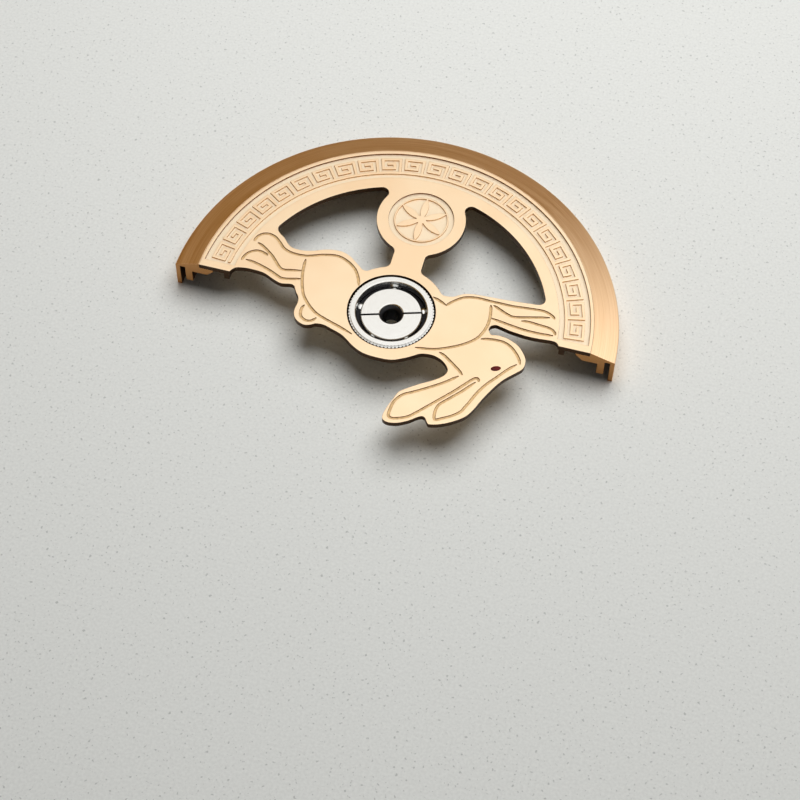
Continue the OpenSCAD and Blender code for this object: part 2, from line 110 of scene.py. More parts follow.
class PlateSettings(bpy.types.PropertyGroup):
    edge: length("Edge", "Width of the rounding on the plate's edges", 0.016)
    line_depth: length("Line depth", "Depth of the engraved lines", 0.09)
    band_depth: length("Band depth", "Depth of the sunk band and dish", 0.13)
    relief: length("Relief", "Height of the raised ornament", 0.1)
    band: length("Band", "Outer radius of the sunk band", 11.65)
    band_inner: length("Band inside", "Inner radius of the sunk band", 9.82)
    border: length("Border", "Inner radius of the key border", 10.135)
    border_line: length("Border line", "Width of the key border's base line", 1.2 / 7)
    figure: length("Figure", "Radius where the hare meets the rim", 10.0)
    rib: length("Rib", "Thickness of the rib under the plate", 0.34)
    hub: length("Hub", "Outer radius of the hub", 3.2)
    bore: length("Bearing hole", "Radius of the hole for the bearing", 2.6)
    boss_place: length("Boss place", "Distance from the axis to the middle of the boss", 6.92)
    dish: length("Dish", "Radius of the dish in the boss", 1.97)
    rosette: length("Rosette", "Radius of the rosette", 1.6)
    rosette_line: length("Rosette line", "Width of the circle round the petals", 0.1)
    button: length("Button", "Radius of the rosette's button", 0.3)
    eye_length: length("Eye length", "Length of the eye", 0.58)
    eye_width: length("Eye width", "Width of the eye", 0.32)
    eye_dome: length("Eye dome", "How far the enamel stands proud", 0.035)
    eye_turn: FloatProperty(name="Eye turn", description="Turn of the eye",
                            default=math.radians(24), subtype="ANGLE")
    metal: colour("Plate gold", "Rose gold plating on the plate", "#FBE5C6")
    metal_warm: colour("Warm gold", "Where the plating is a shade redder", "#F9DEBC")
    blasted: colour("Blasted gold", "Matte floor of the band and dish", "#FFF2DC")
    # Painted shade: dark brown on the plate's cut walls, for the shadow they lie in
    cut: colour("Cut gold", "Thin brown plating on the cut sides of the plate", "#3E2915")
    # Painted shade: dark brown on the walls of the lines, band and dish, for the shadow in them
    engraved: colour("Engraved gold", "Burnt gold on the walls of the engraved lines", "#7A4E20")
    # Painted shade: browner gold on the flanks of the relief, for their shaded outlines
    relief_flank_shade: colour("Worn gold", "Browned gold on the flanks of the relief", "#C99A5C")
    # Painted shade: gold a little browned on the floors of the lines, for the shade in the grooves
    line_floor_shade: colour("Scraped gold", "Gold on the floors of the lines, a little browned", "#EFCF9E")
    enamel: colour("Enamel", "Red enamel of the eye", "#6A060C")


class RimSettings(bpy.types.PropertyGroup):
    edge: length("Edge", "Width of the rounding on the weight's edges", 0.035)
    radius: length("Radius", "Outer radius of the weight", 13.35)
    bevel: length("Bevel", "Width of the bevel", 1.5)
    bevel_drop: length("Bevel drop", "Drop of the bevel at the outer edge", 0.52)
    skirt: length("Skirt", "Thickness of the outer skirt", 0.28)
    groove: length("Groove", "Width of the groove inside the skirt", 0.3)
    roof: length("Roof", "Metal over the groove", 0.65)
    leg: length("Leg", "Thickness of the inner leg", 0.44)
    leg_lift: length("Leg lift", "Height of the leg's foot above the skirt's foot", 0.55)
    shelf: length("Shelf", "Width of the shelf under the plate", 0.85)
    shelf_thick: length("Shelf thickness", "Thickness of the shelf", 0.57)
    shelf_chamfer: length("Shelf chamfer", "Chamfer on the shelf", 0.42)
    plate_thick: length("Plate thickness", "Thickness of the plate on the shelf", 0.38)
    brushing: length("Brushing", "Spacing of the turned lines", 0.05)
    metal: colour("Rim gold", "Rose gold plating on the turned rim", "#FBDBB7")
    metal_dark: colour("Dark streak", "The darker turned lines", "#EDC79D")
    # Painted shade: dark brown in the rim's groove and on its underside, where shade falls
    cut: colour("Cut gold", "Thin brown plating in the groove and on the underside", "#5A3B22")
    # Painted shade: browner gold on the two straight end faces, for the shade they lie in
    rim_end_shade: colour("Sawn gold", "Browner gold of the two straight end faces", "#B88550")


class BearingSettings(bpy.types.PropertyGroup):
    edge: length("Edge", "Width of the rounding on the bearing's edges", 0.02)
    ball: length("Ball", "Radius of a ball", 0.3)
    race_gap: length("Race gap", "Gap between a ball and its races", 0.01)
    path: length("Ball path", "Radius of the circle through the ball centres", 1.95)
    ball_height: length("Ball height", "Height of the ball centres", 0.85)
    lip: length("Lip", "Inner radius of the outer ring", 2.1)
    ring: length("Ring", "Outer radius of the ring", 2.6)
    shoulder: length("Shoulder", "Radius of the shoulder under the plate", 2.85)
    shoulder_thick: length("Shoulder thickness", "Thickness of the shoulder", 0.25)
    ring_foot: length("Ring foot", "Height of the ring's lower face", 0.25)
    step: length("Step", "Radius of the raised part of the ring", 2.42)
    step_rise: length("Step rise", "Height of the raised part", 0.04)
    flange_drop: length("Flange drop", "Drop of the knurled flange", 0.08)
    notch: length("Notch", "Depth of a notch in the knurl", 0.05)
    knurl_slope: length("Knurl slope", "Width of the slope round the knurl", 0.1)
    lip_chamfer: length("Lip chamfer", "Chamfer round the ring's upper lip", 0.04)
    gear_seat: length("Gear seat", "Radius of the sleeve for the gear", 2.28)
    gear_thick: length("Gear thickness", "Thickness of the gear", 0.33)
    module: length("Module", "Module of the gear's teeth", 0.08)
    race: length("Race", "Radius of the slotted nut", 1.8)
    sleeve: length("Sleeve", "Radius of the sleeve in the nut", 0.68)
    bore: length("Bore", "Radius of the bore for the screw", 0.5)
    seat: length("Seat", "Radius of the seat", 1.45)
    foot: length("Foot", "Height of the seat's foot", 0.2)
    nut_sink: length("Nut sink", "How far the nut lies below the plate's top", 0.25)
    countersink: length("Countersink", "Countersink at the top of the bore", 0.12)
    slot: length("Slot", "Width of the screwdriver slot", 0.12)
    slot_depth: length("Slot depth", "Depth of the screwdriver slot", 0.15)
    chamfer: length("Nut chamfer", "Chamfer on the nut", 0.05)
    retainer_gap: length("Retainer gap", "Gap round the retainer and the balls", 0.02)
    retainer_floor: length("Retainer floor", "Floor of the retainer", 0.2)
    finger: length("Finger", "Height of the retainer's fingers above the ball centres", 0.22)
    notches: IntProperty(name="Notches", description="Notches in the knurl", default=72, min=3)
    teeth: IntProperty(name="Teeth", description="Teeth on the gear", default=63, min=3)
    balls: IntProperty(name="Balls", description="Balls in the bearing", default=5, min=3)
    ball_turn: FloatProperty(name="Ball turn", description="Turn of the first ball",
                             default=math.radians(28), subtype="ANGLE")
    slot_turn: FloatProperty(name="Slot turn", description="Turn of the slot",
                             default=math.radians(17.5), subtype="ANGLE")
    steel: colour("Steel", "Hardened and polished bearing steel", "#DADBDB")
    # Painted shade: near-black for the retainer in the dark gap, and for the slot, bore and notches
    shade_steel: colour("Dark steel", "Oxidised steel of retainer, slot, bore and notches", "#2B2B2E")
    brass: colour("Brass", "Milled brass of the drive gear", "#D6B26A")


class StageSettings(bpy.types.PropertyGroup):
    elevation: FloatProperty(name="Elevation", description="Camera's angle above the floor",
                             default=math.radians(58.26), subtype="ANGLE")
    roll: FloatProperty(name="Roll", description="Camera's turn about its own axis",
                        default=math.radians(1.14), subtype="ANGLE")
    turn: FloatProperty(name="Turn", description="Turn of the rotor on the floor",
                        default=math.radians(14), subtype="ANGLE")
    distance: length("Distance", "From the camera to the floor at the middle of the picture", 124.1)
    side: length("Side", "Rotor axis to the left of the middle of the picture", 0.614)
    forth: length("Forth", "Rotor axis beyond the middle of the picture", 4.566)
    focus: FloatProperty(name="Focal length", description="Focal length in image widths",
                         default=2131 / 800, min=0.1)
    floor: colour("Floor", "Pale grey floor", "#E9EAE6")
    wall: colour("Wall", "The pale wall that the camera sees behind the floor", "#DCDEDB")
    window: colour("Window", "The bright side of the room, which the metal reflects", "#FFFDF8")
    shade: colour("Shade", "The dark side of the room, which the metal reflects", "#8A6828")
    window_light: FloatProperty(name="Window light", description="Brightness of the bright side",
                                default=1.5, min=0)
    window_edge: amount("Window edge", "Cosine of the angle to the bright side where it begins", 0.42)
    window_full: amount("Window full", "Cosine of the angle to the bright side where it is full", 0.74)
    lamp_size: amount("Lamp size", "Radius of the soft box as a share of its distance", 0.5)
    sky: amount("Sky", "Brightness of the even light on the floor", 0.04)
    key: amount("Key", "Light that the broad soft box over the rotor casts on the floor", 0.82)


def new_mesh(name, bm, body, materials):
    """Makes the finished bmesh a piece of the object, with its place in its mesh."""
    mesh = bpy.data.meshes.new(name)
    bm.normal_update()
    bm.to_mesh(mesh)
    bm.free()
    for material in materials:
        mesh.materials.append(material)
    piece = bpy.data.objects.new(name, mesh)
    bpy.context.scene.collection.objects.link(piece)
    mesh.shade_smooth()
    mesh.set_sharp_from_angle(angle=SMOOTH_ANGLE)
    for face in mesh.polygons:
        face.use_smooth = abs(face.normal.z) < LEVEL
    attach(piece, body)
    return piece


def sharp_edges(bm):
    return [e for e in bm.edges if len(e.link_faces) == 2 and e.calc_face_angle(0) > EDGE_ANGLE]


def round_edges(bm, width, segments=2):
    bmesh.ops.bevel(bm, geom=sharp_edges(bm), offset=width, offset_type="OFFSET", affect="EDGES",
                    segments=segments, profile=0.5, material=-1, clamp_overlap=False)


def turned(profile, steps, angle=FULL_TURN, start=0):
    """A bmesh of a profile of (radius, height) pairs spun about the axis."""
    bm = bmesh.new()
    verts = [bm.verts.new((r, 0, z)) for r, z in profile]
    for i, v in enumerate(verts):
        bm.edges.new((verts[i - 1], v))
    bmesh.ops.rotate(bm, verts=verts, cent=(0, 0, 0), matrix=Matrix.Rotation(start, 3, "Z"))
    full = angle == FULL_TURN
    bmesh.ops.spin(bm, geom=bm.verts[:] + bm.edges[:], cent=(0, 0, 0), axis=(0, 0, 1),
                   angle=angle, steps=steps, use_merge=full)
    bmesh.ops.remove_doubles(bm, verts=bm.verts[:], dist=SAME)
    bmesh.ops.recalc_face_normals(bm, faces=bm.faces[:])
    return bm


def cut_away(bm, *cutters):
    """The bmesh less the cutters, by an exact boolean."""
    body = bpy.data.objects.new("blank", bpy.data.meshes.new("blank"))
    bm.to_mesh(body.data)
    bm.free()
    bpy.context.scene.collection.objects.link(body)
    spare = [body]
    for cutter in cutters:
        tool = bpy.data.objects.new("cutter", bpy.data.meshes.new("cutter"))
        cutter.to_mesh(tool.data)
        cutter.free()
        bpy.context.scene.collection.objects.link(tool)
        cut = body.modifiers.new("Cut", "BOOLEAN")
        cut.operation = "DIFFERENCE"
        cut.solver = "EXACT"
        cut.object = tool
        spare.append(tool)
    bpy.context.view_layer.update()
    result = bmesh.new()
    result.from_object(body, bpy.context.evaluated_depsgraph_get())
    for piece in spare:
        bpy.data.meshes.remove(piece.data)
    bmesh.ops.remove_doubles(result, verts=result.verts[:], dist=SAME)
    bmesh.ops.dissolve_limit(result, angle_limit=FLAT_ANGLE, verts=result.verts[:],
                             edges=result.edges[:])
    return result


# Materials. The rim's turned lines and the stone's specks are drawn coarse enough to show from the
# camera. Most other grains and marks are 0.03 to 0.1 mm, under two pixels there, and hardly show.


def add(tree, kind, inputs=None, **settings):
    """Adds a node, with its settings, and its inputs as values or as sockets to link."""
    made = tree.nodes.new(kind)
    for key, value in settings.items():
        setattr(made, key, value)
    for key, value in (inputs or {}).items():
        socket = made.inputs[key]
        if isinstance(value, bpy.types.NodeSocket):
            tree.links.new(value, socket)
        elif socket.type == "RGBA":
            socket.default_value = (*value, 1)
        else:
            socket.default_value = value
    return made.outputs


def new_finish(name, roughness, base=None, metallic=1.0):
    """A new material with its principled shader, and the object's coordinates in millimetres."""
    material = bpy.data.materials.new(name)
    material.use_nodes = True
    tree = material.node_tree
    shader = tree.nodes["Principled BSDF"]
    shader.inputs["Metallic"].default_value = metallic
    shader.inputs["Roughness"].default_value = roughness
    if base:
        shader.inputs["Base Color"].default_value = (*base, 1)
    place = add(tree, "ShaderNodeTexCoord")["Object"]
    in_mm = add(tree, "ShaderNodeMapping", {"Vector": place, "Scale": (1 / MM,) * 3})["Vector"]
    return material, tree, shader, in_mm


def tint(tree, shader, pattern, first, second):
    """Lets the base colour drift between two shades along a pattern."""
    share = add(tree, "ShaderNodeMapRange", {
        "Value": pattern, "From Min": 0.35, "From Max": 0.65})["Result"]
    mixed = add(tree, "ShaderNodeMix", {
        "Factor": share, MIX_FIRST: first, MIX_SECOND: second}, data_type="RGBA")
    tree.links.new(mixed[MIX_RESULT], shader.inputs["Base Color"])


def work(tree, shader, pattern, depth_mm=None, strength=None, roughness=None):
    """Raises the surface along a pattern, and lets its roughness vary with it."""
    if depth_mm:
        raised = add(tree, "ShaderNodeBump", {
            "Height": pattern, "Distance": depth_mm * MM, "Strength": strength})
        tree.links.new(raised["Normal"], shader.inputs["Normal"])
    if roughness:
        smooth, rough = roughness
        varied = add(tree, "ShaderNodeMapRange", {
            "Value": pattern, "From Min": 0.3, "From Max": 0.7, "To Min": smooth, "To Max": rough})
        tree.links.new(varied["Result"], shader.inputs["Roughness"])


def round_the_axis(tree, in_mm, across_mm, turns):
    """Coordinates that change fast away from the axis and slowly round it."""
    parts = add(tree, "ShaderNodeSeparateXYZ", {"Vector": in_mm})
    flat = add(tree, "ShaderNodeCombineXYZ", {"X": parts["X"], "Y": parts["Y"]})["Vector"]
    radius = add(tree, "ShaderNodeVectorMath", {0: flat}, operation="LENGTH")["Value"]
    angle = add(tree, "ShaderNodeMath", {0: parts["Y"], 1: parts["X"]}, operation="ARCTAN2")["Value"]
    slow, across, up = (
        add(tree, "ShaderNodeMath", {0: value, 1: factor}, operation="MULTIPLY")["Value"]
        for value, factor in ((angle, turns), (radius, 1 / across_mm), (parts["Z"], 1 / across_mm))
    )
    return add(tree, "ShaderNodeCombineXYZ", {"X": across, "Y": slow, "Z": up})["Vector"]


def satin_gold_plate(settings):
    """Rose gold plating over satin brass: soft broad reflections, and a faint shift of hue."""
    material, tree, shader, in_mm = new_finish("satin_gold_plate", 0.36)
    drift_mm, grain_mm = 3.5, 0.045
    drift = add(tree, "ShaderNodeTexNoise", {"Vector": in_mm, "Scale": 1 / drift_mm, "Detail": 2})
    tint(tree, shader, drift["Fac"], settings.metal, settings.metal_warm)
    grain = add(tree, "ShaderNodeTexNoise", {"Vector": in_mm, "Scale": 1 / grain_mm, "Detail": 3})
    work(tree, shader, grain["Fac"], 0.004, 0.25, (0.32, 0.42))
    return material


def blasted_gold_floor(settings):
    """The same plating over a sand-blasted floor: fine grit that scatters the light."""
    material, tree, shader, in_mm = new_finish("blasted_gold_floor", 0.55, settings.blasted)
    grit_mm = 0.07
    grit = add(tree, "ShaderNodeTexNoise", {"Vector": in_mm, "Scale": 1 / grit_mm, "Detail": 5})
    work(tree, shader, grit["Fac"], 0.012, 0.6, (0.5, 0.66))
    return material


def line_wall_painted_shade(settings):
    """Laser-engraved gold: dark brown and rough on the walls of the lines, band and dish, painted shade
    for the shadow in the grooves.
    """
    material, tree, shader, in_mm = new_finish("line_wall_painted_shade", 0.55, settings.engraved)
    pit_mm = 0.05
    pits = add(tree, "ShaderNodeTexNoise", {"Vector": in_mm, "Scale": 1 / pit_mm, "Detail": 3})
    work(tree, shader, pits["Fac"], 0.01, 0.4)
    return material


def painted_shade_gold(name, base):
    """Browner gold, with a random mottle, in the floors of the lines and on the flanks of the relief:
    painted shade in these grooves and on the relief's sides.
    """
    material, tree, shader, in_mm = new_finish(name, 0.5)
    scorch_mm, pit_mm = 0.15, 0.05
    scorch = add(tree, "ShaderNodeTexNoise", {"Vector": in_mm, "Scale": 1 / scorch_mm, "Detail": 3})
    tint(tree, shader, scorch["Fac"], [0.75 * c for c in base], base)
    pits = add(tree, "ShaderNodeTexNoise", {"Vector": in_mm, "Scale": 1 / pit_mm, "Detail": 3})
    work(tree, shader, pits["Fac"], 0.008, 0.4)
    return material


def painted_shade_side(name, base):
    """Wire-cut and milled faces and the straight ends, dull: dark brown as painted shade on the plate's
    cut walls and on the rim's groove and underside, and a browner gold as painted shade on the rim's
    straight ends.
    """
    material, tree, shader, in_mm = new_finish(name, 0.42, base)
    mark_mm = 0.06
    marks = add(tree, "ShaderNodeTexNoise", {"Vector": in_mm, "Scale": 1 / mark_mm, "Detail": 3})
    work(tree, shader, marks["Fac"], 0.006, 0.3, (0.36, 0.5))
    return material


def turned_gold_rim(settings):
    """Rose gold plating over a lathe-brushed rim: lines run round the axis, coarse enough to show."""
    material, tree, shader, in_mm = new_finish("turned_gold_rim", 0.34)
    round_rim = round_the_axis(tree, in_mm, settings.brushing / MM, 2.5)
    streaks = add(tree, "ShaderNodeTexNoise", {"Vector": round_rim, "Scale": 1, "Detail": 4})
    tint(tree, shader, streaks["Fac"], settings.metal_dark, settings.metal)
    work(tree, shader, streaks["Fac"], 0.006, 0.5, (0.28, 0.42))
    return material


def polished_steel(settings):
    """Hardened bearing steel, ground round the axis and polished, with lines too fine to show."""
    material, tree, shader, in_mm = new_finish("polished_bearing_steel", 0.2, settings.steel)
    round_ring = round_the_axis(tree, in_mm, 0.03, 3.0)
    streaks = add(tree, "ShaderNodeTexNoise", {"Vector": round_ring, "Scale": 1, "Detail": 3})
    work(tree, shader, streaks["Fac"], 0.002, 0.2, (0.16, 0.28))
    return material


def mirror_steel(settings):
    """Lapped ball steel, a clean mirror with the finest haze."""
    material, tree, shader, in_mm = new_finish("lapped_ball_steel", 0.08, settings.steel)
    haze_mm = 0.1
    haze = add(tree, "ShaderNodeTexNoise", {"Vector": in_mm, "Scale": 1 / haze_mm, "Detail": 3})
    work(tree, shader, haze["Fac"], roughness=(0.05, 0.12))
    return material


def painted_shade_steel(settings):
    """Stamped steel, dull, with a fine tooth: near-black as painted shade for the retainer in the dark
    gap and for the slot, bore and notches.
    """
    material, tree, shader, in_mm = new_finish("painted_shade_steel", 0.45, settings.shade_steel)
    tooth_mm = 0.04
    tooth = add(tree, "ShaderNodeTexNoise", {"Vector": in_mm, "Scale": 1 / tooth_mm, "Detail": 3})
    work(tree, shader, tooth["Fac"], 0.004, 0.3)
    return material


def milled_brass(settings):
    """Milled brass, with the cutter's fine marks."""
    material, tree, shader, in_mm = new_finish("milled_brass", 0.3, settings.brass)
    round_gear = round_the_axis(tree, in_mm, 0.04, 4.0)
    marks = add(tree, "ShaderNodeTexNoise", {"Vector": round_gear, "Scale": 1, "Detail": 3})
    work(tree, shader, marks["Fac"], 0.003, 0.3, (0.25, 0.4))
    return material


def red_enamel(settings):
    """Cold enamel: deep red lacquer, smooth, with a weak reflection."""
    material, tree, shader, in_mm = new_finish("red_enamel", 0.18, None, 0.0)
    cloud_mm = 0.2
    clouds = add(tree, "ShaderNodeTexNoise", {"Vector": in_mm, "Scale": 1 / cloud_mm, "Detail": 3})
    tint(tree, shader, clouds["Fac"], [0.55 * c for c in settings.enamel], settings.enamel)
    shader.inputs["Specular IOR Level"].default_value = 0.2
    return material


# Pieces


def round_arc(bm, centre, radius, cuts):
    """Divides the level edges that are chords of a circle, and puts the new points on it."""
    longest = 2 * math.sqrt(2 * radius * FACET_SAG)
    chords = [
        e for e in bm.edges
        if abs(e.verts[0].co.z - e.verts[1].co.z) < SAME
        and e.calc_length() < longest
        and all(abs((v.co.xy - centre).length - radius) < SAME for v in e.verts)
    ]
    made = bmesh.ops.subdivide_edges(bm, edges=chords, cuts=cuts)["geom_inner"]
    for v in made:
        if isinstance(v, bmesh.types.BMVert):
            v.co.xy = centre + (v.co.xy - centre).normalized() * radius


class WATCHROTOR_OT_plate(bpy.types.Operator):
    """Dress the pierced and engraved plate"""
    bl_idname = "watchrotor.plate"
    bl_label = "Plate"

    def execute(self, context):
        s = context.scene.watch_plate
        bm = bmesh.new()
        bm.from_mesh(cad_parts["rotor_plate"].data)
        bmesh.ops.remove_doubles(bm, verts=bm.verts[:], dist=SAME)
        bmesh.ops.dissolve_limit(bm, angle_limit=FLAT_ANGLE, verts=bm.verts[:],
                                 edges=bm.edges[:])
        axis = Vector((0, 0))
        boss = Vector((0, s.boss_place))
        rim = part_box("rotor_plate")[1].x
        for radius in (rim, s.band, s.band_inner, s.border, s.border + s.border_line,
                       s.figure, s.figure + s.rib):
            round_arc(bm, axis, radius, 3)
        for radius in (s.hub, s.bore):
            round_arc(bm, axis, radius, 5)
        for radius in (s.dish, s.rosette + s.rosette_line / 2, s.rosette - s.rosette_line / 2, s.button):
            round_arc(bm, boss, radius, 5)
        for i in range(6):
            turn = math.radians(60 * i + 30)
            round_arc(bm, boss + s.rosette * Vector((math.cos(turn), math.sin(turn))), s.rosette, 4)
        bm.normal_update()
        relief_top = s.relief - s.band_depth
        for face in bm.faces:
            heights = [v.co.z - PLATE_TOP for v in face.verts]
            low, high = min(heights), max(heights)
            level = face.normal.z > FLOOR_RISE
            wall = abs(face.normal.z) < FLOOR_RISE
            # Painted shade: the floors of the lines get a browner gold for the shade in the grooves
            if level and abs(low + s.line_depth) < SAME:
                face.material_index = 5
            elif level and abs(low + s.band_depth) < SAME:
                face.material_index = 1
            # Painted shade: the walls of the lines, band and dish get dark brown, and the relief's
            # flanks a browner gold, for the shade on them
            elif wall and low > -s.band_depth - SAME:
                face.material_index = 2 if high > relief_top + SAME else 3
            # Painted shade: the plate's cut walls get dark brown for the shadow they lie in
            elif wall:
                face.material_index = 4
        round_edges(bm, s.edge)
        piece = new_mesh("engraved_plate", bm, "rotor", [
            satin_gold_plate(s), blasted_gold_floor(s), line_wall_painted_shade(s),
            painted_shade_gold("relief_flank_painted_shade", s.relief_flank_shade), painted_shade_side("painted_shade_side", s.cut),
            painted_shade_gold("line_floor_painted_shade", s.line_floor_shade),
        ])
        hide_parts("rotor_plate")
        return {"FINISHED"}


class WATCHROTOR_OT_rim(bpy.types.Operator):
    """Turn the heavy rim and cut its two straight ends"""
    bl_idname = "watchrotor.rim"
    bl_label = "Rim weight"

    def execute(self, context):
        s = context.scene.watch_rim
        top = PLATE_TOP
        plate_edge = s.radius - s.bevel
        skirt_inner = s.radius - s.skirt
        leg_outer = skirt_inner - s.groove
        leg_inner = leg_outer - s.leg
        shelf_inner = plate_edge - s.shelf
        shelf_top = top - s.plate_thick
        shelf_foot = shelf_top - s.shelf_thick
        profile = [
            (plate_edge, top), (s.radius, top - s.bevel_drop), (s.radius, FOOT), (skirt_inner, FOOT),
            (skirt_inner, top - s.roof), (leg_outer, top - s.roof), (leg_outer, FOOT + s.leg_lift),
            (leg_inner, FOOT + s.leg_lift), (leg_inner, shelf_foot),
            (shelf_inner + s.shelf_chamfer, shelf_foot), (shelf_inner, shelf_foot + s.shelf_chamfer),
            (shelf_inner, shelf_top), (plate_edge, shelf_top),
        ]
        bm = turned(profile, RIM_STEPS, math.pi + 2 * RIM_SPARE, -RIM_SPARE)
        cut = bmesh.ops.bisect_plane(bm, geom=bm.verts[:] + bm.edges[:] + bm.faces[:],
                                     plane_co=(0, STRAIGHT_END, 0), plane_no=(0, 1, 0), clear_inner=True)
        open_edges = [e for e in cut["geom_cut"] if isinstance(e, bmesh.types.BMEdge)]
        bmesh.ops.holes_fill(bm, edges=open_edges)
        bmesh.ops.recalc_face_normals(bm, faces=bm.faces[:])
        for face in bm.faces:
            middle = face.calc_center_median()
            # Painted shade: the straight end faces get a browner gold for the shade they lie in
            if middle.y < STRAIGHT_END + SAME:
                face.material_index = 2
            # Painted shade: the groove, leg and underside get dark brown for the shade they lie in
            elif middle.xy.length < skirt_inner + SAME and middle.z < shelf_top:
                face.material_index = 1
        round_edges(bm, s.edge)
        piece = new_mesh("turned_rim", bm, "rotor", [
            turned_gold_rim(s), painted_shade_side("rim_underside_painted_shade", s.cut),
            painted_shade_side("rim_end_painted_shade", s.rim_end_shade),
        ])
        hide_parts("rim_weight")
        return {"FINISHED"}


def vee(s):
    """Distance from the ball centres to the points of the races' V grooves."""
    return (s.ball + s.race_gap) * math.sqrt(2)


def ball_centres(s):
    for i in range(s.balls):
        turn = s.ball_turn + FULL_TURN * i / s.balls
        yield Vector((s.path * math.cos(turn), s.path * math.sin(turn), s.ball_height))


def sphere(centre, radius, around=48):
    bm = bmesh.new()
    bmesh.ops.create_uvsphere(bm, u_segments=around, v_segments=around // 2, radius=radius)
    bmesh.ops.translate(bm, verts=bm.verts[:], vec=centre)
    return bm


class WATCHROTOR_OT_outer_ring(bpy.types.Operator):
    """Turn the outer bearing ring and knurl its flange"""
    bl_idname = "watchrotor.outer_ring"
    bl_label = "Outer ring"

    def execute(self, context):
        s = context.scene.watch_bearing
        plate_foot = PLATE_TOP - context.scene.watch_rim.plate_thick
        shoulder_foot = plate_foot - s.shoulder_thick
        groove = s.path + vee(s)
        rise = groove - s.lip
        flange = PLATE_TOP - s.flange_drop
        crown = PLATE_TOP + s.step_rise
        slope_foot = flange - s.knurl_slope
        profile = [
            (s.lip, s.ring_foot), (s.gear_seat, s.ring_foot), (s.gear_seat, s.ring_foot + s.gear_thick),
            (s.ring, s.ring_foot + s.gear_thick), (s.ring, shoulder_foot), (s.shoulder, shoulder_foot),
            (s.shoulder, plate_foot), (s.ring, plate_foot), (s.ring, slope_foot),
            (s.ring - s.knurl_slope, flange), (s.step, flange),
            (s.step, crown), (s.lip + s.lip_chamfer, crown), (s.lip, crown - s.lip_chamfer),
            (s.lip, s.ball_height + rise), (groove, s.ball_height), (s.lip, s.ball_height - rise),
        ]
        # Facets to a notch and the land beside it
        per_notch = 4
        bm = turned(profile, s.notches * per_notch)
        for v in bm.verts:
            column = round(math.atan2(v.co.y, v.co.x) / FULL_TURN * s.notches * per_notch)
            knurled = v.co.z > plate_foot - SAME and v.co.xy.length > s.step + SAME
            if column % per_notch == 0 and knurled:
                v.co.xy = v.co.xy.normalized() * (v.co.xy.length - s.notch)
                # Painted shade: the faces round each notch get the near-black steel
                for face in v.link_faces:
                    middle = face.calc_center_median()
                    notch_foot = s.ring - s.knurl_slope - s.notch / 2
                    if middle.z > plate_foot + SAME and middle.xy.length > notch_foot:
                        face.material_index = 1
        round_edges(bm, s.edge / 2)
        piece = new_mesh("outer_ring", bm, "rotor", [
            polished_steel(s), painted_shade_steel(s),
        ])
        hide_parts("bearing_outer_ring")
        return {"FINISHED"}


class WATCHROTOR_OT_gear(bpy.types.Operator):
    """Cut the drive gear under the ring"""
    bl_idname = "watchrotor.gear"
    bl_label = "Drive gear"

    def execute(self, context):
        s = context.scene.watch_bearing
        pitch = s.module * s.teeth / 2
        # A tooth rises one module over the pitch circle, and its gap sinks a quarter more
        tip = pitch + s.module
        root = pitch - 1.25 * s.module
        top = s.ring_foot + s.gear_thick
        bm = bmesh.new()
        per_tooth = 4
        steps = s.teeth * per_tooth
        rims = []
        for radius in (s.gear_seat, tip):
            rims.append(bmesh.ops.create_circle(bm, segments=steps, radius=radius)["verts"])
        bmesh.ops.bridge_loops(bm, edges=bm.edges[:])
        # Where the corners of a tooth lie, as shares of the step from tooth to tooth
        shares = (-0.36, -0.13, 0.13, 0.36)
        for v in rims[1]:
            column = round(math.atan2(v.co.y, v.co.x) / FULL_TURN * steps) % steps
            tooth, corner = divmod(column, per_tooth)
            turn = FULL_TURN * (tooth + shares[corner]) / s.teeth
            v.co.xy = Vector((math.cos(turn), math.sin(turn))) * (tip if corner in (1, 2) else root)
        bmesh.ops.translate(bm, verts=bm.verts[:], vec=(0, 0, s.ring_foot))
        lifted = bmesh.ops.extrude_face_region(bm, geom=bm.faces[:])["geom"]
        bmesh.ops.translate(bm, verts=[v for v in lifted if isinstance(v, bmesh.types.BMVert)],
                            vec=(0, 0, top - s.ring_foot))
        bmesh.ops.recalc_face_normals(bm, faces=bm.faces[:])
        round_edges(bm, s.edge / 4, 1)
        piece = new_mesh("winding_gear", bm, "rotor", [milled_brass(s)])
        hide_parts("drive_gear")
        return {"FINISHED"}


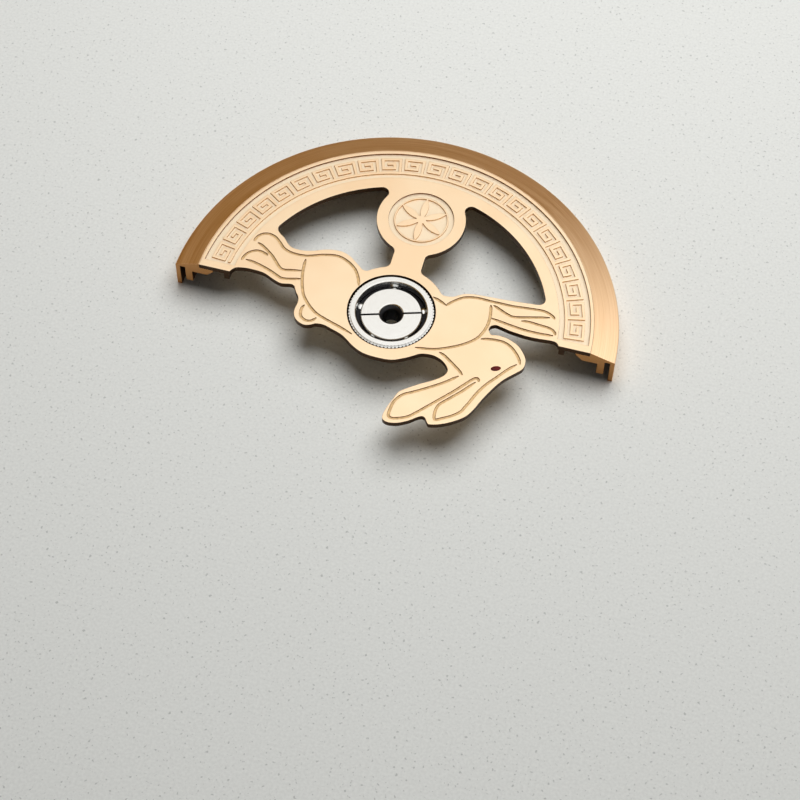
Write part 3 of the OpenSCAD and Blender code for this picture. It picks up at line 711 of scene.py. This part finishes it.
class WATCHROTOR_OT_hub(bpy.types.Operator):
    """Turn the inner race and slot its nut"""
    bl_idname = "watchrotor.hub"
    bl_label = "Inner race"

    def execute(self, context):
        s = context.scene.watch_bearing
        groove = s.path - vee(s)
        rise = s.race - groove
        nut_top = PLATE_TOP - s.nut_sink
        sleeve_top = nut_top - s.slot_depth
        core = turned([
            (s.bore, 0), (s.seat, 0), (s.seat, s.foot), (s.race, s.foot),
            (s.race, s.ball_height - rise), (groove, s.ball_height), (s.sleeve, s.ball_height),
            (s.sleeve, sleeve_top), (s.bore + s.countersink, sleeve_top),
            (s.bore, sleeve_top - s.countersink),
        ], TURNED_STEPS)
        # Painted shade: the bore's faces get the near-black steel
        for face in core.faces:
            inside = face.calc_center_median().xy.length < s.sleeve - SAME
            if inside and face.normal.z > -FLOOR_RISE:
                face.material_index = 1
        round_edges(core, s.edge / 2)
        steel = polished_steel(s)
        piece = new_mesh("inner_race", core, "hub", [steel, painted_shade_steel(s)])
        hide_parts("race_core")
        nut = turned([
            (s.sleeve, s.ball_height), (groove, s.ball_height), (s.race, s.ball_height + rise),
            (s.race, nut_top - s.chamfer), (s.race - s.chamfer, nut_top),
            (s.sleeve + s.chamfer, nut_top), (s.sleeve, nut_top - s.chamfer),
        ], TURNED_STEPS)
        saw = bmesh.new()
        bmesh.ops.create_cube(saw, size=1)
        bmesh.ops.scale(saw, verts=saw.verts[:], vec=(3 * s.race, s.slot, 2 * s.slot_depth))
        bmesh.ops.rotate(saw, verts=saw.verts[:], matrix=Matrix.Rotation(s.slot_turn, 3, "Z"))
        bmesh.ops.translate(saw, verts=saw.verts[:], vec=(0, 0, nut_top))
        nut = cut_away(nut, saw)
        across = Vector((-math.sin(s.slot_turn), math.cos(s.slot_turn), 0))
        # Painted shade: the slot's faces get the near-black steel
        for face in nut.faces:
            middle = face.calc_center_median()
            if abs(middle.dot(across)) < s.slot / 2 + SAME and middle.z > sleeve_top - SAME:
                face.material_index = 1
        round_edges(nut, s.edge / 2)
        piece = new_mesh("slotted_nut", nut, "hub", [steel, painted_shade_steel(s)])
        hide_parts("race_nut")
        return {"FINISHED"}


class WATCHROTOR_OT_balls(bpy.types.Operator):
    """Place the balls and the retainer between them"""
    bl_idname = "watchrotor.balls"
    bl_label = "Balls and retainer"

    def execute(self, context):
        s = context.scene.watch_bearing
        pocket = s.ball + s.retainer_gap
        low = s.ball_height - pocket - s.retainer_floor
        high = s.ball_height + s.finger
        inner = s.race + s.retainer_gap
        outer = s.lip - s.retainer_gap
        cage = turned([(inner, low), (outer, low), (outer, high), (inner, high)], TURNED_STEPS)
        cage = cut_away(cage, *[sphere(c, pocket) for c in ball_centres(s)])
        round_edges(cage, s.edge / 2)
        # Painted shade: the retainer is near-black for the dark gap between the rings
        piece = new_mesh("crown_retainer", cage, "retainer", [painted_shade_steel(s)])
        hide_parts("ball_retainer")
        mirror = mirror_steel(s)
        bodies = {f"ball_{i + 1}": f"ball_{letter}" for i, letter in enumerate("abcde")}
        for (node, body), centre in zip(bodies.items(), ball_centres(s)):
            piece = new_mesh(f"steel_{node}", sphere(centre, s.ball), body, [mirror])
            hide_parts(node)
        return {"FINISHED"}


class WATCHROTOR_OT_eye(bpy.types.Operator):
    """Fill the hare's eye with a drop of enamel"""
    bl_idname = "watchrotor.eye"
    bl_label = "Eye"

    def execute(self, context):
        s = context.scene.watch_plate
        low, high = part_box("eye_inlay")
        centre = (low + high) / 2
        rings, around = 8, 48
        angles = [i / rings * math.pi / 2 for i in range(rings)]
        dome = [(math.cos(a), s.eye_dome * math.sin(a)) for a in angles]
        foot = low.z - high.z
        bm = turned([(0, foot), (1, foot), *dome, (0, s.eye_dome)], around)
        bmesh.ops.scale(bm, verts=bm.verts[:], vec=(s.eye_length / 2, s.eye_width / 2, 1))
        bmesh.ops.rotate(bm, verts=bm.verts[:], matrix=Matrix.Rotation(s.eye_turn, 3, "Z"))
        bmesh.ops.translate(bm, verts=bm.verts[:], vec=(centre.x, centre.y, high.z))
        piece = new_mesh("enamel_eye", bm, "rotor", [red_enamel(s)])
        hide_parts("eye_inlay")
        return {"FINISHED"}


class WATCHROTOR_OT_stage(bpy.types.Operator):
    """Set the floor, the soft light and the camera"""
    bl_idname = "watchrotor.stage"
    bl_label = "Stage"

    def execute(self, context):
        s = context.scene.watch_stage
        scene = context.scene
        scene.view_settings.view_transform = "Standard"
        # From the floor's frame, whose origin is at the middle of the picture, to the rotor's
        to_rotor = Matrix.Rotation(s.turn, 4, "Z") @ Matrix.Translation((s.side, -s.forth, FOOT))

        camera = bpy.data.objects.new("camera", bpy.data.cameras.new("camera"))
        camera.data.lens = camera.data.sensor_width * s.focus
        camera.data.clip_start = s.distance / 100
        aim = Matrix.Rotation(math.pi / 2 - s.elevation, 4, "X") @ Matrix.Rotation(s.roll, 4, "Z")
        back = Vector((0, -math.cos(s.elevation), math.sin(s.elevation))) * s.distance
        camera.matrix_world = to_rotor @ Matrix.Translation(back) @ aim
        scene.collection.objects.link(camera)
        scene.camera = camera

        bm = bmesh.new()
        bmesh.ops.create_grid(bm, x_segments=1, y_segments=1, size=40 * s.distance)
        bmesh.ops.translate(bm, verts=bm.verts[:], vec=(0, 0, FOOT))
        mesh = bpy.data.meshes.new("floor")
        bm.to_mesh(mesh)
        bm.free()
        floor = bpy.data.objects.new("floor", mesh)
        scene.collection.objects.link(floor)
        material, tree, shader, in_mm = new_finish("speckled_stone_floor", 0.9, None, 0.0)
        mottle_mm, speck_mm = 0.16, 0.2
        mottle = add(tree, "ShaderNodeTexNoise", {
            "Vector": in_mm, "Scale": 1 / mottle_mm, "Detail": 4})["Fac"]
        mottle = add(tree, "ShaderNodeMapRange", {
            "Value": mottle, "From Min": 0.3, "From Max": 0.7, "To Min": 0.9, "To Max": 1})["Result"]
        specks = add(tree, "ShaderNodeTexNoise", {
            "Vector": in_mm, "Scale": 1 / speck_mm, "Detail": 1})["Fac"]
        specks = add(tree, "ShaderNodeMapRange", {
            "Value": specks, "From Min": 0.27, "From Max": 0.34, "To Min": 0.7, "To Max": 1})["Result"]
        grain = add(tree, "ShaderNodeMath", {0: mottle, 1: specks}, operation="MULTIPLY")["Value"]
        stone = add(tree, "ShaderNodeMix", {
            "Factor": grain, MIX_FIRST: (0, 0, 0), MIX_SECOND: s.floor}, data_type="RGBA")
        tree.links.new(stone[MIX_RESULT], shader.inputs["Base Color"])
        mesh.materials.append(material)

        lamp = bpy.data.lights.new("top_box", "AREA")
        lamp.shape = "DISK"
        spot = LAMP_PLACE * s.distance
        radius = s.lamp_size * spot.length
        lamp.size = 2 * radius
        # The light that a disk casts on the floor, as a share of what would show a white floor as white
        disk = radius ** 2 / (radius ** 2 + spot.length ** 2) * spot.normalized().z
        lamp.energy = s.key / disk * math.pi * math.pi * radius ** 2
        box = bpy.data.objects.new("top_box", lamp)
        turn = (to_rotor @ spot - to_rotor @ Vector((0, 0, 0))).to_track_quat("Z", "Y")
        box.matrix_world = Matrix.LocRotScale(to_rotor @ spot, turn, None)
        # It lights the floor and casts the shadow; the metal reflects the room instead
        box.visible_glossy = False
        scene.collection.objects.link(box)

        world = bpy.data.worlds.new("room")
        world.use_nodes = True
        room = world.node_tree
        ray = add(room, "ShaderNodeLightPath")
        looking = add(room, "ShaderNodeTexCoord")["Generated"]
        to_window = to_rotor.to_3x3() @ WINDOW_PLACE.normalized()
        facing = add(room, "ShaderNodeVectorMath", {
            0: looking, 1: to_window}, operation="DOT_PRODUCT")["Value"]
        glow = add(room, "ShaderNodeMapRange", {
            "Value": facing, "From Min": s.window_edge, "From Max": s.window_full,
        }, interpolation_type="SMOOTHSTEP")["Result"]
        # Metal sees the bright and the dark side, the floor an even sky, and the camera the wall
        bright = [s.window_light * c for c in s.window]
        seen = s.shade
        for factor, colour_there in (
            (glow, bright), (ray["Is Diffuse Ray"], (s.sky,) * 3), (ray["Is Camera Ray"], s.wall),
        ):
            seen = add(room, "ShaderNodeMix", {
                "Factor": factor, MIX_FIRST: seen, MIX_SECOND: colour_there,
            }, data_type="RGBA")[MIX_RESULT]
        room.links.new(seen, room.nodes["Background"].inputs["Color"])
        scene.world = world
        return {"FINISHED"}


class WATCHROTOR_PT_panel(bpy.types.Panel):
    bl_label = "Watch rotor"
    bl_idname = "WATCHROTOR_PT_panel"
    bl_space_type = "VIEW_3D"
    bl_region_type = "UI"
    bl_category = "Watch rotor"

    def draw(self, context):
        for operator in OPERATORS:
            self.layout.operator(operator.bl_idname)
        for group in SETTINGS:
            box = self.layout.box()
            box.label(text=group.replace("_", " ").capitalize())
            for key in getattr(context.scene, group).__annotations__:
                box.prop(getattr(context.scene, group), key)


OPERATORS = (
    WATCHROTOR_OT_plate, WATCHROTOR_OT_rim, WATCHROTOR_OT_outer_ring, WATCHROTOR_OT_gear,
    WATCHROTOR_OT_hub, WATCHROTOR_OT_balls, WATCHROTOR_OT_eye, WATCHROTOR_OT_stage,
)
SETTINGS = {
    "watch_plate": PlateSettings,
    "watch_rim": RimSettings,
    "watch_bearing": BearingSettings,
    "watch_stage": StageSettings,
}


def register():
    for group in SETTINGS.values():
        bpy.utils.register_class(group)
    for name, group in SETTINGS.items():
        setattr(bpy.types.Scene, name, PointerProperty(type=group))
    for operator in OPERATORS:
        bpy.utils.register_class(operator)
    bpy.utils.register_class(WATCHROTOR_PT_panel)


def unregister():
    bpy.utils.unregister_class(WATCHROTOR_PT_panel)
    for operator in reversed(OPERATORS):
        bpy.utils.unregister_class(operator)
    for name in SETTINGS:
        delattr(bpy.types.Scene, name)
    for group in reversed(SETTINGS.values()):
        bpy.utils.unregister_class(group)


def main():
    register()
    bpy.ops.watchrotor.stage()
    bpy.ops.watchrotor.plate()
    bpy.ops.watchrotor.rim()
    bpy.ops.watchrotor.outer_ring()
    bpy.ops.watchrotor.gear()
    bpy.ops.watchrotor.hub()
    bpy.ops.watchrotor.balls()
    bpy.ops.watchrotor.eye()


if __name__ == "__main__":
    main()
